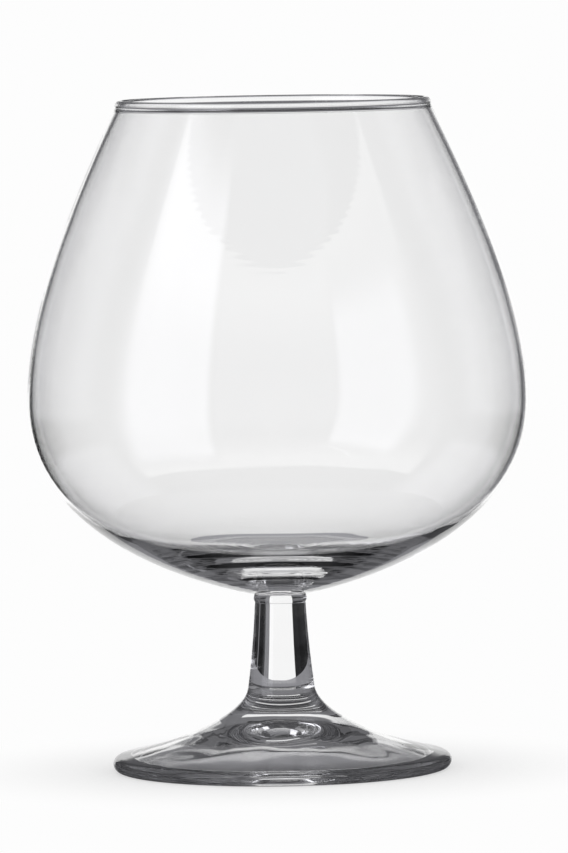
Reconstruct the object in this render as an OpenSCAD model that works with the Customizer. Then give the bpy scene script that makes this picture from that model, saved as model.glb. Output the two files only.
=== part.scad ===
// Brandy snifter of clear glass: a blown bowl on a short solid stem and a pressed foot.
// The three pieces are fused end to end on flat round joints. Origin: centre of the resting plane, +Z up.

/* [Bowl] */
// Widest outer diameter of the bowl
belly_d = 115.6; // [100:0.1:140]
// Height of the widest level above the joint with the stem
belly_rise = 44.9; // [40:0.1:56]
// Height of the rim above the widest level
rim_rise = 69.8; // [58:0.1:85]
// Outer diameter of the bead round the mouth
mouth_d = 73; // [60:0.1:88]
// Inward lean of the wall at the rim, in degrees
rim_lean = 26; // [15:1:35]
// Rise of the underside beside the joint, in degrees
base_lift = 12.3; // [8:0.1:20]
// Glass thickness of the wall
wall_t = 1.2; // [1:0.1:1.6]
// Glass thickness of the base on the axis
base_t = 8.2; // [7:0.1:12]
// Thickness of the fire-polished bead on the rim
bead_t = 2.1; // [1.6:0.05:2.6]
// Length of wall over which the bead swells
bead_run = 1.3; // [1:0.1:4]

/* [Stem] */
// Height of the stem between its two joints
stem_h = 21.7; // [16:0.1:45]
// Diameter of the stem at its top
stem_top_d = 11.8; // [9:0.1:14]
// Diameter of the neck where the stem meets the foot
neck_d = 15.5; // [12:0.1:19]
// Lean of the stem's side at its top, in degrees
stem_top_lean = 3; // [0:0.5:6]
// Lean of the neck's side at the foot joint, in degrees
neck_lean = 8; // [4:0.5:14]
// Height of the ring of glass at the bowl joint
ring_h = 1.8; // [1:0.1:3]
// Bulge of that ring beyond the stem
ring_out = 0.25; // [0.1:0.05:0.6]

/* [Foot] */
// Diameter of the foot
foot_d = 78.5; // [70:0.5:95]
// Height of the foot up to its joint with the stem
foot_h = 19; // [15:0.1:26]
// Thickness of the rounded edge
foot_edge_t = 3.5; // [2.6:0.1:4.6]
// Slope of the top just inside the edge, in degrees
foot_slope = 11.7; // [6:0.5:16]
// Width of the flat ring that the glass stands on
rest_w = 3; // [2:0.5:6]
// Height of the domed hollow under the foot
hollow_h = 8.5; // [4:0.1:9]
// Slope of the hollow where it starts inside that ring, in degrees
hollow_slope = 14; // [8:0.5:26]

/* [Fullness of the curves] */
// Straight reach of the belly upwards, as a share of the rim's rise
belly_up_share = 0.27; // [0.2:0.01:0.45]
// Straight reach of the rim downwards, as a share of the rim's rise
rim_down_share = 0.44; // [0.2:0.01:0.5]
// Straight reach of the belly downwards, as a share of the belly's rise
belly_down_share = 0.58; // [0.4:0.01:0.65]
// Straight reach of the underside outwards, as a share of its width
base_out_share = 0.5; // [0.4:0.01:0.7]
// Straight reach of the inner belly downwards, as a share of the cup's depth below it
cup_down_share = 0.65; // [0.5:0.01:0.7]
// Radius of the flat bottom, as a share of the inner belly radius
floor_share = 0.3; // [0.2:0.01:0.4]
// Straight reach of the inner wall outwards from the flat bottom, as a share of the width beyond it
cup_out_share = 0.41; // [0.3:0.01:0.6]
// Straight reach of the neck downwards, as a share of its drop to the edge
neck_down_share = 0.38; // [0.25:0.01:0.5]
// Straight reach of the foot's top inwards, as a share of its width
foot_in_share = 0.55; // [0.4:0.01:0.65]
// Straight reach of the hollow inwards, as a share of its radius
hollow_in_share = 0.5; // [0.35:0.01:0.55]
// Straight reach of the hollow's crown outwards, as a share of its radius
crown_out_share = 0.3; // [0.2:0.01:0.4]

/* [Hidden] */
glass_colour = [0.86, 0.9, 0.92, 0.5];
joint_low_z = foot_h;
joint_high_z = joint_low_z + stem_h;
belly_z = joint_high_z + belly_rise;
belly_r = belly_d / 2;
stem_top_r = stem_top_d / 2;
neck_r = neck_d / 2;
edge_r = foot_edge_t / 2;
// Middle of the bead's section, and the end of the outer wall curve beside it
bead_mid = [mouth_d / 2 - bead_t / 2, belly_z + rim_rise - bead_t / 2];
rim_end = bead_mid + [cos(rim_lean), sin(rim_lean)] * wall_t / 2;
cup_r = belly_r - wall_t;
cup_z = joint_high_z + base_t;
floor_r = floor_share * cup_r;
// Centre of the round foot edge, which stands on the resting plane
edge_mid = [foot_d / 2 - edge_r, edge_r];
rest_r = edge_mid[0] - rest_w;
// Number of steps along each curve
curve_steps = 32;
arc_steps = 14;
$fn = 128;

// A point of a curve held by two ends and two reach points
function curve(p, t) =
    pow(1 - t, 3) * p[0] + 3 * pow(1 - t, 2) * t * p[1] + 3 * (1 - t) * pow(t, 2) * p[2] + pow(t, 3) * p[3];
// The whole curve as a run of points
function run(p, steps = curve_steps) = [for (i = [0:steps]) curve(p, i / steps)];
// An arc from angle a to angle b round a centre
function arc(mid, r, a, b, steps = arc_steps) =
    [for (i = [0:steps]) let (w = a + (b - a) * i / steps) mid + r * [cos(w), sin(w)]];
function unit(v) = v / norm(v);
// Outward normal of the curve at t, taken across a short step
function side(p, t, step = 0.001) =
    let (d = unit(curve(p, min(t + step, 1)) - curve(p, max(t - step, 0)))) [d[1], -d[0]];
// Smooth rise from 0 to 1
function ease(x) = let (c = max(0, min(1, x))) c * c * (3 - 2 * c);

// Outer wall from the belly up to the rim
wall_up = [
    [belly_r, belly_z],
    [belly_r, belly_z + belly_up_share * rim_rise],
    rim_end + [sin(rim_lean), -cos(rim_lean)] * rim_down_share * rim_rise,
    rim_end
];
// Outer wall from the belly down to the stem joint
wall_down = [
    [belly_r, belly_z],
    [belly_r, belly_z - belly_down_share * belly_rise],
    [stem_top_r, joint_high_z] + [cos(base_lift), sin(base_lift)] * base_out_share * (belly_r - stem_top_r),
    [stem_top_r, joint_high_z]
];
// Inner wall from the belly down to the edge of the flat bottom
cup_down = [
    [cup_r, belly_z],
    [cup_r, belly_z - cup_down_share * (belly_z - cup_z)],
    [floor_r + cup_out_share * (cup_r - floor_r), cup_z],
    [floor_r, cup_z]
];

// Extra half thickness of the bead at a height
function swell(z) = (bead_t - wall_t) / 2 * ease(1 - (rim_end[1] - z) / bead_run);
// Steps bunch up towards the rim, where the bead is
function rim_t(i) = 1 - pow(1 - i / curve_steps, 2);
function outer_wall(t) = let (p = curve(wall_up, t)) p + side(wall_up, t) * swell(p[1]);
function inner_wall(t) = let (p = curve(wall_up, t)) p - side(wall_up, t) * (wall_t + swell(p[1]));

// Blown bowl: thin even wall, thick base, bead round the mouth
module bowl() {
    outside = [for (i = [0:curve_steps - 1]) outer_wall(rim_t(i))];
    bead = arc(bead_mid, bead_t / 2, rim_lean, rim_lean + 180);
    inside = [for (i = [curve_steps - 1:-1:1]) inner_wall(rim_t(i))];
    underside = [for (i = [curve_steps:-1:1]) curve(wall_down, i / curve_steps)];
    color(glass_colour) rotate_extrude()
        polygon(concat([[0, joint_high_z]], underside, outside, bead, inside, run(cup_down), [[0, cup_z]]));
}

// Solid stem: a small ring at the bowl joint, then a taper that widens downwards
module stem() {
    ring_low_z = joint_high_z - ring_h;
    shaft_h = stem_h - ring_h;
    // The ring's side is an arc through its two ends and its bulge
    ring_arc_r = (pow(ring_h / 2, 2) + pow(ring_out, 2)) / (2 * ring_out);
    half_angle = asin(ring_h / 2 / ring_arc_r);
    ring_mid = [stem_top_r + ring_out - ring_arc_r, joint_high_z - ring_h / 2];
    shaft = [
        [stem_top_r, ring_low_z],
        [stem_top_r, ring_low_z] + [sin(stem_top_lean), -cos(stem_top_lean)] * shaft_h / 3,
        [neck_r, joint_low_z] + [-sin(neck_lean), cos(neck_lean)] * shaft_h / 3,
        [neck_r, joint_low_z]
    ];
    ring = arc(ring_mid, ring_arc_r, half_angle, -half_angle);
    taper = [for (i = [1:curve_steps]) curve(shaft, i / curve_steps)];
    color(glass_colour) rotate_extrude()
        polygon(concat([[0, joint_low_z], [0, joint_high_z]], ring, taper));
}

// Pressed foot: flared neck, sloping top, round edge, flat resting ring and a domed hollow
module foot() {
    flare_end = edge_mid + edge_r * [sin(foot_slope), cos(foot_slope)];
    flare = [
        [neck_r, joint_low_z],
        [neck_r, joint_low_z] + [sin(neck_lean), -cos(neck_lean)] * neck_down_share * (foot_h - foot_edge_t),
        flare_end + [-cos(foot_slope), sin(foot_slope)] * foot_in_share * (flare_end[0] - neck_r),
        flare_end
    ];
    edge = arc(edge_mid, edge_r, 90 - foot_slope, -90);
    // The hollow starts inside the resting ring and rises to a crown on the axis
    hollow = [
        [rest_r, 0],
        [rest_r, 0] + [-cos(hollow_slope), sin(hollow_slope)] * hollow_in_share * rest_r,
        [crown_out_share * rest_r, hollow_h],
        [0, hollow_h]
    ];
    color(glass_colour) rotate_extrude()
        polygon(concat([[0, joint_low_z]], run(flare), [for (i = [1:arc_steps]) edge[i]], run(hollow)));
}

foot();
stem();
bowl();
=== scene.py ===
import math

import bpy
from mathutils import Matrix, Vector


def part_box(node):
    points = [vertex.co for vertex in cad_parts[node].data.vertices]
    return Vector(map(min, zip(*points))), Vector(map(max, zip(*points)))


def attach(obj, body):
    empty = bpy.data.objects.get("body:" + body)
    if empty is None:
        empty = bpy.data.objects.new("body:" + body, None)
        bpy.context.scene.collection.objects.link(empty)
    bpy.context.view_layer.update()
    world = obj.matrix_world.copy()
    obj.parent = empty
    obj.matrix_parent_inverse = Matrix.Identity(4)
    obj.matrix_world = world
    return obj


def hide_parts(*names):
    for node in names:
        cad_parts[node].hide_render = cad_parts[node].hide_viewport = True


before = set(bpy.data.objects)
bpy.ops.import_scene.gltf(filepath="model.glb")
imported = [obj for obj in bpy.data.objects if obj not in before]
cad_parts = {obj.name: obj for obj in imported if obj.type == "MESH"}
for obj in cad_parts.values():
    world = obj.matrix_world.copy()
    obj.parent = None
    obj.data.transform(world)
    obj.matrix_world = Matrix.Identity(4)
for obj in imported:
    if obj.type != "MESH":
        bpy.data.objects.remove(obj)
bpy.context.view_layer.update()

# Bowl
# The balloon is soda-lime glass, blown into a mould: an even thin wall, a thick base where the gather
# stayed, and a mouth that was cut off and melted back to a round bead. It is one closed piece of glass.
MM = 0.001
bowl_low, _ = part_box("bowl")
bowl_joint_z = bowl_low.z
rim_top_z = 155.4 * MM
belly_r = 57.8 * MM
belly_z = 85.6 * MM
mouth_r = 36.5 * MM
rim_lean = math.radians(26)
base_lift = math.radians(12.3)
wall_t = 1.2 * MM
base_t = 8.2 * MM
bead_t = 2.1 * MM
bead_run = 1.3 * MM
stem_top_r = 5.9 * MM
# How far each curve runs straight at its ends, as a share of its height or width
belly_up_share = 0.27
rim_down_share = 0.44
base_out_share = 0.5
belly_down_share = 0.58
cup_down_share = 0.65
cup_out_share = 0.41
# The flat bottom inside, as a share of the inner radius
floor_share = 0.30
# The mould's faint rings in the thick base: the gap from one to the next, the radius over which they
# rise and over which they die away, where they start and end, and their height
ring_gap = 2.4 * MM
ring_rise = 3 * MM
ring_fall = 6 * MM
under_ring_start = 7 * MM
under_ring_end = 30 * MM
under_ring_height = 0.006 * MM
cup_ring_end = 15 * MM
cup_ring_height = 0.03 * MM
# Points along the curves. The wall's crowd towards the rim, where the bead is.
wall_steps = 84
wall_crowding = 1.6
bead_steps = 16
underside_steps = 104
cup_steps = 90
floor_steps = 36


def heading(angle):
    """The unit direction (radius, height) at an angle that is 0 outwards and a quarter turn upwards."""
    return Vector((math.cos(angle), math.sin(angle)))


def held_curve(start, start_reach, end_reach, end, steps, crowding=1.0):
    """Points (radius, height) on the smooth curve between two ends, each with the point it reaches for.
    Crowding over 1 brings the points closer together towards the end."""
    points = []
    for i in range(steps + 1):
        t = 1 - (1 - i / steps) ** crowding
        points.append((1 - t) ** 3 * start + 3 * (1 - t) ** 2 * t * start_reach
                      + 3 * (1 - t) * t ** 2 * end_reach + t ** 3 * end)
    return points


def arc_points(middle, radius, start_angle, end_angle, steps):
    """Points (radius, height) on an arc round a middle."""
    angles = [start_angle + (end_angle - start_angle) * i / steps for i in range(steps + 1)]
    return [middle + radius * heading(angle) for angle in angles]


def outward(points):
    """The unit normal at each point of a curve that runs with its glass on the left."""
    normals = []
    for i in range(len(points)):
        along = points[min(i + 1, len(points) - 1)] - points[max(i - 1, 0)]
        normals.append(Vector((along.y, -along.x)).normalized())
    return normals


def limited(share):
    """A share kept between 0 and 1."""
    return max(0, min(1, share))


def eased(share):
    """A share kept between 0 and 1, with a gentle start and end."""
    share = limited(share)
    return share * share * (3 - 2 * share)


def ringed(points, ring_start, ring_end, ring_height):
    """The curve with the mould's faint rings between two radii."""
    ringed_points = []
    for point, normal in zip(points, outward(points)):
        share = limited((point.x - ring_start) / ring_rise) * limited((ring_end - point.x) / ring_fall)
        wave = math.sin(math.tau * point.x / ring_gap) * share
        ringed_points.append(point + normal * ring_height * wave)
    return ringed_points


quarter_turn = math.pi / 2
half_turn = math.pi
up = Vector((0, 1))
belly = Vector((belly_r, belly_z))
bead_middle = Vector((mouth_r - bead_t / 2, rim_top_z - bead_t / 2))
rim_end = bead_middle + heading(rim_lean) * wall_t / 2
rim_rise = rim_top_z - belly_z
wall = held_curve(belly, belly + up * belly_up_share * rim_rise,
                  rim_end + heading(rim_lean - quarter_turn) * rim_down_share * rim_rise, rim_end,
                  wall_steps, wall_crowding)
outer_wall, inner_wall = [], []
for point, normal in zip(wall, outward(wall)):
    swell = (bead_t - wall_t) / 2 * eased(1 - (rim_end.y - point.y) / bead_run)
    outer_wall.append(point + normal * swell)
    inner_wall.append(point - normal * (wall_t + swell))
bead = arc_points(bead_middle, bead_t / 2, rim_lean, rim_lean + half_turn, bead_steps)
base_end = Vector((stem_top_r, bowl_joint_z))
underside = held_curve(base_end, base_end + heading(base_lift) * base_out_share * (belly_r - stem_top_r),
                       belly - up * belly_down_share * (belly_z - bowl_joint_z), belly, underside_steps)
underside = ringed(underside, under_ring_start, under_ring_end, under_ring_height)
# The cup runs from the inside of the belly down to the flat bottom, and along it to the axis.
cup_r = belly_r - wall_t
cup_z = bowl_joint_z + base_t
floor_r = floor_share * cup_r
cup_belly = Vector((cup_r, belly_z))
floor_edge = Vector((floor_r, cup_z))
cup = held_curve(cup_belly, cup_belly - up * cup_down_share * (belly_z - cup_z),
                 floor_edge + Vector((cup_out_share * (cup_r - floor_r), 0)), floor_edge, cup_steps)
cup += [Vector((floor_r * (1 - i / floor_steps), cup_z)) for i in range(1, floor_steps + 1)]
cup = ringed(cup, -ring_rise, cup_ring_end, cup_ring_height)
bowl_profile = ([Vector((0, bowl_joint_z))] + underside[:-1] + outer_wall[:-1] + bead
                + inner_wall[-2:0:-1] + cup)


def add(tree, kind, links=(), **settings):
    """Adds a node with its settings, and sets or links its inputs."""
    node = tree.nodes.new(kind)
    for key, value in settings.items():
        setattr(node, key, value)
    for socket, value in dict(links).items():
        if isinstance(value, bpy.types.NodeSocket):
            tree.links.new(value, node.inputs[socket])
        else:
            node.inputs[socket].default_value = value
    return node


def linear(hex_colour):
    """An sRGB hex colour as linear red, green, blue and alpha."""
    parts = [int(hex_colour[i:i + 2], 16) / 255 for i in (1, 3, 5)]
    return [p / 12.92 if p <= 0.04045 else ((p + 0.055) / 1.055) ** 2.4 for p in parts] + [1]


def new_material(name):
    """A node material with nothing in it, and its tree."""
    material = bpy.data.materials.new(name)
    material.use_nodes = True
    material.node_tree.nodes.clear()
    return material, material.node_tree


# Where two pieces were fused while hot there is no surface left to see, so light goes straight through.
fused_seam, tree = new_material("fused_glass_seam")
through = add(tree, "ShaderNodeBsdfTransparent")
add(tree, "ShaderNodeOutputMaterial", {"Surface": through.outputs[0]})


def spinning_tree():
    """A tree that spins a glass profile round the axis, gives it the faint waves of hot-worked glass,
    and marks the flat faces where two pieces are fused. The waves die away towards the fused faces and
    the plane that the glass stands on. Their stretch makes them longer along the axis. The path is a
    circle wider than the glass, since a profile can't follow one of no width, and the profile is moved
    back by as much."""
    doubles = 0.002 * MM
    seam_depth = 0.01 * MM
    still_by_seam = 3 * MM
    still_by_plane = 4 * MM
    crease = math.radians(40)
    tree = bpy.data.node_groups.new("glass spun from its profile", "GeometryNodeTree")
    sockets = [("Geometry", "NodeSocketGeometry"), ("Steps round", "NodeSocketInt"),
               ("Path radius", "NodeSocketFloat"), ("Wave height", "NodeSocketFloat"),
               ("Wave length", "NodeSocketFloat"), ("Wave stretch", "NodeSocketFloat"),
               ("Wave seed", "NodeSocketFloat"),
               ("Low seam", "NodeSocketFloat"), ("High seam", "NodeSocketFloat"),
               ("Glass", "NodeSocketMaterial"), ("Seam", "NodeSocketMaterial")]
    for name, kind in sockets:
        tree.interface.new_socket(name, in_out="INPUT", socket_type=kind)
    tree.interface.new_socket("Geometry", in_out="OUTPUT", socket_type="NodeSocketGeometry")
    given = add(tree, "NodeGroupInput").outputs
    path = add(tree, "GeometryNodeCurvePrimitiveCircle",
               {"Resolution": given["Steps round"], "Radius": given["Path radius"]})
    path = add(tree, "GeometryNodeSetCurveNormal", {"Curve": path.outputs["Curve"]}, mode="Z_UP")
    inward = add(tree, "ShaderNodeMath", {0: given["Path radius"], 1: -1.0}, operation="MULTIPLY")
    inward = add(tree, "ShaderNodeCombineXYZ", {"X": inward.outputs[0]})
    profile = add(tree, "GeometryNodeMeshToCurve", {"Mesh": given["Geometry"]})
    profile = add(tree, "GeometryNodeTransform",
                  {"Geometry": profile.outputs["Curve"], "Translation": inward.outputs[0],
                   "Scale": (1, -1, 1)})
    spun = add(tree, "GeometryNodeCurveToMesh",
               {"Curve": path.outputs["Curve"], "Profile Curve": profile.outputs["Geometry"]})
    spun = add(tree, "GeometryNodeMergeByDistance", {"Geometry": spun.outputs["Mesh"], "Distance": doubles})
    spun = add(tree, "GeometryNodeFlipFaces", {"Mesh": spun.outputs[0]})
    place = add(tree, "GeometryNodeInputPosition").outputs[0]
    height = add(tree, "ShaderNodeSeparateXYZ", {0: place}).outputs["Z"]
    still = []
    flat = []
    for seam in ("Low seam", "High seam"):
        gap = add(tree, "ShaderNodeMath", {0: height, 1: given[seam]}, operation="SUBTRACT")
        gap = add(tree, "ShaderNodeMath", {0: gap.outputs[0]}, operation="ABSOLUTE")
        ease = add(tree, "ShaderNodeMapRange", {"Value": gap.outputs[0], "From Max": still_by_seam},
                   interpolation_type="SMOOTHSTEP")
        still.append(ease.outputs[0])
        on_plane = add(tree, "ShaderNodeMath", {0: gap.outputs[0], 1: seam_depth}, operation="LESS_THAN")
        flat.append(on_plane.outputs[0])
    still = add(tree, "ShaderNodeMath", {0: still[0], 1: still[1]}, operation="MULTIPLY")
    lifted = add(tree, "ShaderNodeMapRange", {"Value": height, "From Max": still_by_plane},
                 interpolation_type="SMOOTHSTEP")
    still = add(tree, "ShaderNodeMath", {0: still.outputs[0], 1: lifted.outputs[0]}, operation="MULTIPLY")
    on_seam = add(tree, "ShaderNodeMath", {0: flat[0], 1: flat[1]}, operation="MAXIMUM")
    scale = add(tree, "ShaderNodeMath", {0: 1.0, 1: given["Wave length"]}, operation="DIVIDE")
    squash = add(tree, "ShaderNodeMath", {0: 1.0, 1: given["Wave stretch"]}, operation="DIVIDE")
    squash = add(tree, "ShaderNodeCombineXYZ", {"X": 1.0, "Y": 1.0, "Z": squash.outputs[0]})
    spot = add(tree, "ShaderNodeVectorMath", {0: place, 1: squash.outputs[0]}, operation="MULTIPLY")
    noise = add(tree, "ShaderNodeTexNoise",
                {"Vector": spot.outputs[0], "W": given["Wave seed"], "Scale": scale.outputs[0],
                 "Detail": 1.0},
                noise_dimensions="4D")
    wave = add(tree, "ShaderNodeMapRange", {"Value": noise.outputs[0], "To Min": -1.0, "To Max": 1.0})
    wave = add(tree, "ShaderNodeMath", {0: wave.outputs[0], 1: given["Wave height"]}, operation="MULTIPLY")
    wave = add(tree, "ShaderNodeMath", {0: wave.outputs[0], 1: still.outputs[0]}, operation="MULTIPLY")
    normal = add(tree, "GeometryNodeInputNormal").outputs[0]
    shift = add(tree, "ShaderNodeVectorMath", {0: normal, "Scale": wave.outputs[0]}, operation="SCALE")
    waved = add(tree, "GeometryNodeSetPosition", {"Geometry": spun.outputs[0], "Offset": shift.outputs[0]})
    smooth = add(tree, "GeometryNodeSetShadeSmooth", {"Geometry": waved.outputs[0]})
    bend = add(tree, "GeometryNodeInputMeshEdgeAngle").outputs[0]
    sharp = add(tree, "ShaderNodeMath", {0: bend, 1: crease}, operation="GREATER_THAN")
    smooth = add(tree, "GeometryNodeSetShadeSmooth",
                 {"Geometry": smooth.outputs[0], "Selection": sharp.outputs[0], "Shade Smooth": False},
                 domain="EDGE")
    glass = add(tree, "GeometryNodeSetMaterial", {"Geometry": smooth.outputs[0], "Material": given["Glass"]})
    seam = add(tree, "GeometryNodeSetMaterial",
               {"Geometry": glass.outputs[0], "Selection": on_seam.outputs[0], "Material": given["Seam"]})
    real = add(tree, "GeometryNodeRealizeInstances", {"Geometry": seam.outputs[0]})
    add(tree, "NodeGroupOutput", {"Geometry": real.outputs[0]})
    return tree


glass_tree = spinning_tree()
steps_round = 240
path_r = 0.1
# The height given for a seam that a piece doesn't have, far from all of the glass
no_seam_z = -1.0


def spun_glass(name, profile, glass, wave_height, wave_length, wave_stretch, wave_seed,
               low_seam=no_seam_z, high_seam=no_seam_z):
    """Makes one piece of glass from its profile with the spinning tree, as a plain mesh."""
    mesh = bpy.data.meshes.new(name)
    mesh.from_pydata([(p.x, p.y, 0) for p in profile], [(i, i + 1) for i in range(len(profile) - 1)], [])
    piece = bpy.data.objects.new(name, mesh)
    bpy.context.scene.collection.objects.link(piece)
    spin = piece.modifiers.new("spin", "NODES")
    spin.node_group = glass_tree
    values = {"Steps round": steps_round, "Path radius": path_r, "Wave height": wave_height,
              "Wave length": wave_length, "Wave stretch": wave_stretch, "Wave seed": wave_seed,
              "Low seam": low_seam, "High seam": high_seam, "Glass": glass, "Seam": fused_seam}
    for item in glass_tree.interface.items_tree:
        if item.in_out == "INPUT" and item.name in values:
            spin[item.identifier] = values[item.name]
    bpy.context.view_layer.update()
    solid = bpy.data.meshes.new_from_object(piece.evaluated_get(bpy.context.evaluated_depsgraph_get()))
    piece.modifiers.remove(spin)
    piece.data = solid
    bpy.data.meshes.remove(mesh)
    return piece


def polished_clear(tree, pattern, pattern_height):
    """Finishes a material as fire-polished clear glass: no colour of its own, and mirror-smooth over a
    pattern of very low relief."""
    relief = add(tree, "ShaderNodeBump", {"Height": pattern, "Strength": 1.0, "Distance": pattern_height})
    body = add(tree, "ShaderNodeBsdfPrincipled",
               {"Base Color": linear("#fefefe"), "Roughness": 0.0, "IOR": 1.5, "Transmission Weight": 1.0,
                "Normal": relief.outputs[0]})
    add(tree, "ShaderNodeOutputMaterial", {"Surface": body.outputs[0]})


# Clear soda-lime glass, fire-polished: clear as water, with mirror-sharp highlights. The bowl turned in
# its mould, which leaves rings about 2 mm apart. They are under a thousandth of a millimetre high, and only
# stir the edges of the highlights a little. Here they are drawn 0.002 mm high, so that they show at all.
# At a scale of 1 the wave texture's bands are tau / 20 apart.
blown_glass, tree = new_material("blown_soda_lime_glass")
mould_ring_gap = 2 * MM
mould_ring_height = 0.002 * MM
band_gap = math.tau / 20
spot = add(tree, "ShaderNodeTexCoord").outputs["Object"]
mould_rings = add(tree, "ShaderNodeTexWave",
                  {"Vector": spot, "Scale": band_gap / mould_ring_gap, "Distortion": 2.0, "Detail": 1.0,
                   "Detail Scale": 0.3}, bands_direction="Z")
polished_clear(tree, mould_rings.outputs["Fac"], mould_ring_height)

bowl = spun_glass("blown_bowl", bowl_profile, blown_glass, wave_height=0.02 * MM, wave_length=20 * MM,
                  wave_stretch=1.0, wave_seed=3.0, high_seam=bowl_joint_z)
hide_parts("bowl")
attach(bowl, "root")

# Stem
# The stem is a short solid rod of the same glass, drawn down thinner towards the bowl. A small ring
# of glass was squeezed out where its hot end was pressed on to the bowl.
stem_low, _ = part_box("stem")
foot_joint_z = stem_low.z
neck_r = 7.75 * MM
stem_ring_h = 1.8 * MM
stem_ring_out = 0.25 * MM
stem_top_lean = math.radians(3)
neck_lean = math.radians(8)
stem_ring_steps = 16
shaft_steps = 70
# The ring's side is an arc through its two ends and its bulge.
stem_ring_r = ((stem_ring_h / 2) ** 2 + stem_ring_out ** 2) / (2 * stem_ring_out)
stem_ring_angle = math.asin(stem_ring_h / 2 / stem_ring_r)
stem_ring_middle = Vector((stem_top_r + stem_ring_out - stem_ring_r, bowl_joint_z - stem_ring_h / 2))
stem_ring = arc_points(stem_ring_middle, stem_ring_r, -stem_ring_angle, stem_ring_angle, stem_ring_steps)
neck = Vector((neck_r, foot_joint_z))
shaft_top = Vector((stem_top_r, bowl_joint_z - stem_ring_h))
shaft_reach = (shaft_top.y - foot_joint_z) / 3
shaft = held_curve(neck, neck + heading(quarter_turn + neck_lean) * shaft_reach,
                   shaft_top + heading(stem_top_lean - quarter_turn) * shaft_reach, shaft_top, shaft_steps)
stem_profile = [Vector((0, foot_joint_z))] + shaft[:-1] + stem_ring + [Vector((0, bowl_joint_z))]

# The same clear glass, drawn out while soft: fine lines about 1 mm wide run along the stem, and put
# thin pale and dark streaks beside its bright middle. They are drawn 0.003 mm high.
drawn_glass, tree = new_material("drawn_soda_lime_glass")
draw_line_width = 1 * MM
draw_line_height = 0.003 * MM
draw_line_squash = 0.06
spot = add(tree, "ShaderNodeTexCoord").outputs["Object"]
along = add(tree, "ShaderNodeVectorMath", {0: spot, 1: (1, 1, draw_line_squash)}, operation="MULTIPLY")
draw_lines = add(tree, "ShaderNodeTexNoise",
                 {"Vector": along.outputs[0], "Scale": 1 / draw_line_width, "Detail": 1.0})
polished_clear(tree, draw_lines.outputs[0], draw_line_height)

stem = spun_glass("drawn_stem", stem_profile, drawn_glass, wave_height=0.02 * MM, wave_length=3 * MM,
                  wave_stretch=12.0, wave_seed=5.0, low_seam=foot_joint_z, high_seam=bowl_joint_z)
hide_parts("stem")
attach(stem, "root")

# Foot
# The foot is pressed glass, fused to the stem at its neck: it flares out to a thin round edge, and
# stands on a flat ring round a domed hollow.
_, foot_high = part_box("foot")
foot_r = foot_high.x
edge_r = 1.75 * MM
foot_slope = math.radians(11.7)
rest_w = 3 * MM
hollow_h = 8.5 * MM
hollow_slope = math.radians(14)
crown_out_share = 0.30
hollow_in_share = 0.50
foot_in_share = 0.55
neck_down_share = 0.38
hollow_steps = 80
edge_steps = 30
flare_steps = 110
edge_middle = Vector((foot_r - edge_r, edge_r))
edge_top = edge_middle + edge_r * heading(quarter_turn - foot_slope)
rest_r = edge_middle.x - rest_w
crown = Vector((0, hollow_h))
hollow_edge = Vector((rest_r, 0))
hollow = held_curve(crown, crown + Vector((crown_out_share * rest_r, 0)),
                    hollow_edge + heading(half_turn - hollow_slope) * hollow_in_share * rest_r,
                    hollow_edge, hollow_steps)
edge = arc_points(edge_middle, edge_r, -quarter_turn, quarter_turn - foot_slope, edge_steps)
flare_in = foot_in_share * (edge_top.x - neck_r)
flare_down = neck_down_share * (foot_joint_z - 2 * edge_r)
flare = held_curve(edge_top, edge_top + heading(half_turn - foot_slope) * flare_in,
                   neck + heading(neck_lean - quarter_turn) * flare_down, neck, flare_steps)
foot_profile = hollow + edge + flare[1:] + [Vector((0, foot_joint_z))]

# The same clear glass, chilled by the steel of the press: shallow ripples about 4 mm across, which bend
# what shows through the foot and its highlights. They are drawn 0.004 mm high.
pressed_glass, tree = new_material("pressed_soda_lime_glass")
ripple_width = 4 * MM
ripple_height = 0.004 * MM
spot = add(tree, "ShaderNodeTexCoord").outputs["Object"]
ripples = add(tree, "ShaderNodeTexNoise", {"Vector": spot, "Scale": 1 / ripple_width, "Detail": 1.0})
polished_clear(tree, ripples.outputs[0], ripple_height)

foot = spun_glass("pressed_foot", foot_profile, pressed_glass, wave_height=0.25 * MM, wave_length=16 * MM,
                  wave_stretch=1.0, wave_seed=11.0, high_seam=foot_joint_z)
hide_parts("foot")
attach(foot, "root")

# Camera
# A long lens a little above the rim, looking slightly down. The photograph leans a little, so the
# camera is rolled. The glass is round, so any side of it can face the camera.
camera_azimuth = math.radians(225)
camera_back = Vector((math.sin(camera_azimuth), -math.cos(camera_azimuth), 0))
camera_right = Vector((math.cos(camera_azimuth), math.sin(camera_azimuth), 0))
camera_distance = 1.811
camera_height = 0.1976
camera_roll = math.radians(-0.85)
aim_right = 1.48 * MM
aim_height = 79.5 * MM
camera = bpy.data.objects.new("camera", bpy.data.cameras.new("camera"))
bpy.context.scene.collection.objects.link(camera)
camera.location = camera_back * camera_distance + Vector((0, 0, camera_height))
aim = camera_right * aim_right + Vector((0, 0, aim_height))
looking = (aim - camera.location).to_track_quat("-Z", "Y").to_matrix()
camera.rotation_euler = (looking @ Matrix.Rotation(camera_roll, 3, "Z")).to_euler()
camera.data.lens = 331
camera.data.sensor_width = 36
camera.data.clip_end = 20
bpy.context.scene.camera = camera

# Studio
# A white table and a white world. Glass shows what stands round it, so a grey room, black flags beside
# the white opening behind the glass, and lit cards stand round it, as when glass is photographed. Only
# the glass shows them: the camera, the table and the shadows don't see them.
bpy.context.scene.world = bpy.data.worlds.new("white_studio")
bpy.context.scene.world.use_nodes = True
tree = bpy.context.scene.world.node_tree
tree.nodes.clear()
white = add(tree, "ShaderNodeBackground", {"Color": linear("#fdfdfd"), "Strength": 1.0})
add(tree, "ShaderNodeOutputWorld", {"Surface": white.outputs[0]})
lamp_white = linear("#f8f8fe")


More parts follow.
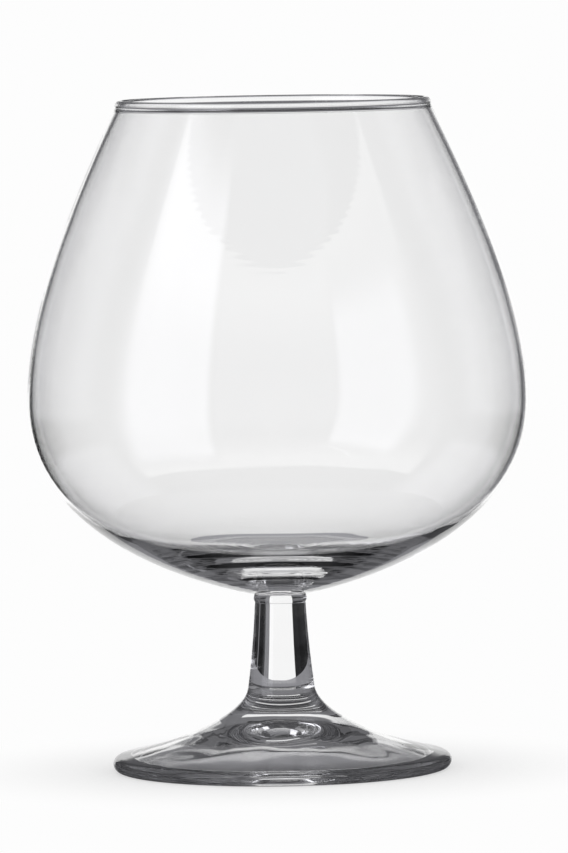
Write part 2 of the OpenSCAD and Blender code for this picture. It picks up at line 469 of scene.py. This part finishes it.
def sheet(name, points, faces, material):
    """A flat or curved sheet of the studio."""
    mesh = bpy.data.meshes.new(name)
    mesh.from_pydata(points, [], faces)
    mesh.materials.append(material)
    panel = bpy.data.objects.new(name, mesh)
    bpy.context.scene.collection.objects.link(panel)
    return panel


def hide(panel):
    """Leaves a sheet to the glass alone."""
    panel.visible_camera = panel.visible_diffuse = panel.visible_shadow = False


def disc(name, radius, height, material):
    """A round level sheet."""
    corners = 96
    angles = [i * math.tau / corners for i in range(corners)]
    points = [(radius * math.cos(angle), radius * math.sin(angle), height) for angle in angles]
    return sheet(name, points, [range(corners)], material)


def card(name, left, right, distance, low, high, strength, soft=(0, 0, 0, 0), mirrored_only=False):
    """A curved card round the glass, from one angle to another in degrees, where 0 is straight behind the
    glass and positive angles are to the camera's right, and from one height to another in metres. Its light
    fades to nothing over soft edges: left and right by degrees, low and high by metres. A card that is
    mirrored only shows where the glass mirrors it and not through the glass, so that the glass stays clear
    against the white from the sides where such a card would be behind it."""
    steps_across, steps_up = 48, 32
    points, glows = [], []
    for i in range(steps_across + 1):
        angle = left + (right - left) * i / steps_across
        out = -camera_back * math.cos(math.radians(angle)) + camera_right * math.sin(math.radians(angle))
        for j in range(steps_up + 1):
            height = low + (high - low) * j / steps_up
            points.append(out * distance + Vector((0, 0, height)))
            glow = 1.0
            for reach, width in zip((angle - left, right - angle, height - low, high - height), soft):
                if width:
                    glow *= eased(reach / width)
            glows.append(glow)
    row = steps_up + 1
    faces = [(row * i + j, row * i + j + 1, row * (i + 1) + j + 1, row * (i + 1) + j)
             for i in range(steps_across) for j in range(steps_up)]
    material, tree = new_material(name)
    edge_glow = add(tree, "ShaderNodeAttribute", attribute_name="glow").outputs["Fac"]
    share = edge_glow
    if mirrored_only:
        mirrorings = add(tree, "ShaderNodeLightPath").outputs["Glossy Depth"]
        mirrored = add(tree, "ShaderNodeMath", {0: mirrorings, 1: 0.5}, operation="GREATER_THAN")
        share = add(tree, "ShaderNodeMath", {0: edge_glow, 1: mirrored.outputs[0]}, operation="MULTIPLY")
        share = share.outputs[0]
    level = add(tree, "ShaderNodeMath", {0: edge_glow, 1: strength}, operation="MULTIPLY")
    light = add(tree, "ShaderNodeEmission", {"Color": lamp_white, "Strength": level.outputs[0]})
    clear = add(tree, "ShaderNodeBsdfTransparent")
    body = add(tree, "ShaderNodeMixShader", {"Fac": share, 1: clear.outputs[0], 2: light.outputs[0]})
    add(tree, "ShaderNodeOutputMaterial", {"Surface": body.outputs[0]})
    panel = sheet(name, points, faces, material)
    panel.data.attributes.new("glow", "FLOAT", "POINT").data.foreach_set("value", glows)
    hide(panel)
    return panel


# The white opening behind the glass lies between these two angles. Right of it come a grey strip and
# a flag with a thin grey strip down it, and left of it a flag alone. Each flag is black in its middle,
# and dark grey above and below. The room closes the rest.
opening_left = -19
opening_right = 16.5
flag_right_start = 24
flag_end = 60
flag_low = -0.3
flag_high = 0.1
near = 1.2
far = 1.6
card("left_soft_light", -153, -96, 1.0, -0.8, 1.3, 1.5, soft=(6, 16, 0.4, 0.4), mirrored_only=True)
card("opening_top", opening_left, opening_right, near, 0.22, 1.0, 0.2, soft=(0, 0, 0.1, 0))
card("opening_low", opening_left, opening_right, near, -0.8, -0.465, 0.5)
card("left_flag", -flag_end, opening_left, near, flag_low, flag_high, 0.006)
card("left_flag_low", -flag_end, opening_left, near, -0.6, flag_low, 0.15)
card("left_flag_high", -flag_end, opening_left, near, flag_high, 1.0, 0.12)
card("right_grey", opening_right, flag_right_start, near, -0.6, 0.6, 0.2)
card("right_flag", flag_right_start, flag_end, near, flag_low, flag_high, 0.006)
card("right_gap", 40, 42.5, near - 0.01, flag_low, flag_high, 0.25)
card("right_flag_low", flag_right_start, flag_end, near, -0.6, flag_low, 0.15)
card("right_flag_high", flag_right_start, flag_end, near, flag_high, 1.0, 0.12)
card("room_right", opening_right, 100, far, -0.8, 0.8, 0.12)
card("room_left", -100, opening_left, far, -0.8, 0.8, 0.12)
card("room_low", -100, 100, far, -2.0, -0.8, 0.2)
card("room_front", 100, 260, far - 0.01, -1.1, 1.5, 0.28, soft=(0, 0, 0.9, 0.8), mirrored_only=True)
card("room_high", -180, 180, far, 0.8, 2.4, 0.05)
room_r = 2.2
ceiling_z = 2.3
room_floor_z = -1.9
room_grey, tree = new_material("grey_room")
light = add(tree, "ShaderNodeEmission", {"Color": lamp_white, "Strength": 0.05})
add(tree, "ShaderNodeOutputMaterial", {"Surface": light.outputs[0]})
hide(disc("room_ceiling", room_r, ceiling_z, room_grey))
hide(disc("room_floor", room_r, room_floor_z, room_grey))
# Two lit cards on each side, one above the table's height and one below it, only show where the outside
# of the bowl mirrors them, and lighten its sides.
glow_strength = 0.9
for side, left, right, soft_sides in (("right", 26, 110, (30, 20)), ("left", -110, -26, (20, 30))):
    high_glow = card(side + "_glow", left, right, 0.2, 0.05, 0.7, glow_strength,
                     soft=soft_sides + (0.025, 0.2))
    low_glow = card(side + "_low_glow", left, right, 0.5, -0.9, -0.05, glow_strength,
                    soft=soft_sides + (0.2, 0.05))
    high_glow.visible_transmission = low_glow.visible_transmission = False

# Matt white table: lit by the world, so that the glass shadows it, and brought up to the white of the
# picture towards its edge.
table_r = 90 * MM
white_table, tree = new_material("matt_white_table")
paint = add(tree, "ShaderNodeBsdfDiffuse", {"Color": linear("#fdfdfd")})
white = add(tree, "ShaderNodeEmission", {"Color": linear("#fdfdfd"), "Strength": 1.0})
spot = add(tree, "ShaderNodeTexCoord").outputs["Object"]
reach = add(tree, "ShaderNodeVectorMath", {0: spot}, operation="LENGTH").outputs["Value"]
share = add(tree, "ShaderNodeMapRange",
            {"Value": reach, "From Min": 30 * MM, "From Max": 88 * MM, "To Min": 0.5, "To Max": 0.0},
            interpolation_type="SMOOTHSTEP")
body = add(tree, "ShaderNodeMixShader", {"Fac": share.outputs[0], 1: white.outputs[0], 2: paint.outputs[0]})
add(tree, "ShaderNodeOutputMaterial", {"Surface": body.outputs[0]})
disc("table_top", table_r, 0, white_table)

# Grey acrylic under the foot, which the glass alone shows: it darkens the foot as in the
# photograph. Its glow is painted light: it gives out a little light under the middle of the foot and
# outside it, standing in for light that would come up through frosted acrylic from the white table.
stand_lift = 0.02 * MM
grey_acrylic, tree = new_material("grey_acrylic_stand_painted_glow")
spot = add(tree, "ShaderNodeTexCoord").outputs["Object"]
reach = add(tree, "ShaderNodeVectorMath", {0: spot}, operation="LENGTH").outputs["Value"]
# Painted glow: light the stand gives out itself, most under the middle of the foot and beyond 56 mm
under = add(tree, "ShaderNodeMapRange",
            {"Value": reach, "From Min": 15 * MM, "From Max": 40 * MM, "To Min": 0.2, "To Max": 0.01},
            interpolation_type="SMOOTHSTEP")
beyond = add(tree, "ShaderNodeMapRange",
             {"Value": reach, "From Min": 46 * MM, "From Max": 56 * MM, "To Min": 0.0, "To Max": 0.2},
             interpolation_type="SMOOTHSTEP")
glow = add(tree, "ShaderNodeMath", {0: under.outputs[0], 1: beyond.outputs[0]}, operation="ADD")
body = add(tree, "ShaderNodeBsdfPrincipled",
           {"Base Color": linear("#3c3c40"), "Roughness": 0.12, "IOR": 1.5, "Emission Color": lamp_white,
            "Emission Strength": glow.outputs[0]})
add(tree, "ShaderNodeOutputMaterial", {"Surface": body.outputs[0]})
hide(disc("grey_stand", table_r, stand_lift, grey_acrylic))

# Enough for light to pass all the walls of the glass and be mirrored inside its base and foot on the way
light_bounces = 24
cycles = bpy.context.scene.cycles
cycles.max_bounces = cycles.glossy_bounces = light_bounces
cycles.transmission_bounces = cycles.transparent_max_bounces = light_bounces
bpy.context.scene.view_settings.view_transform = "Standard"
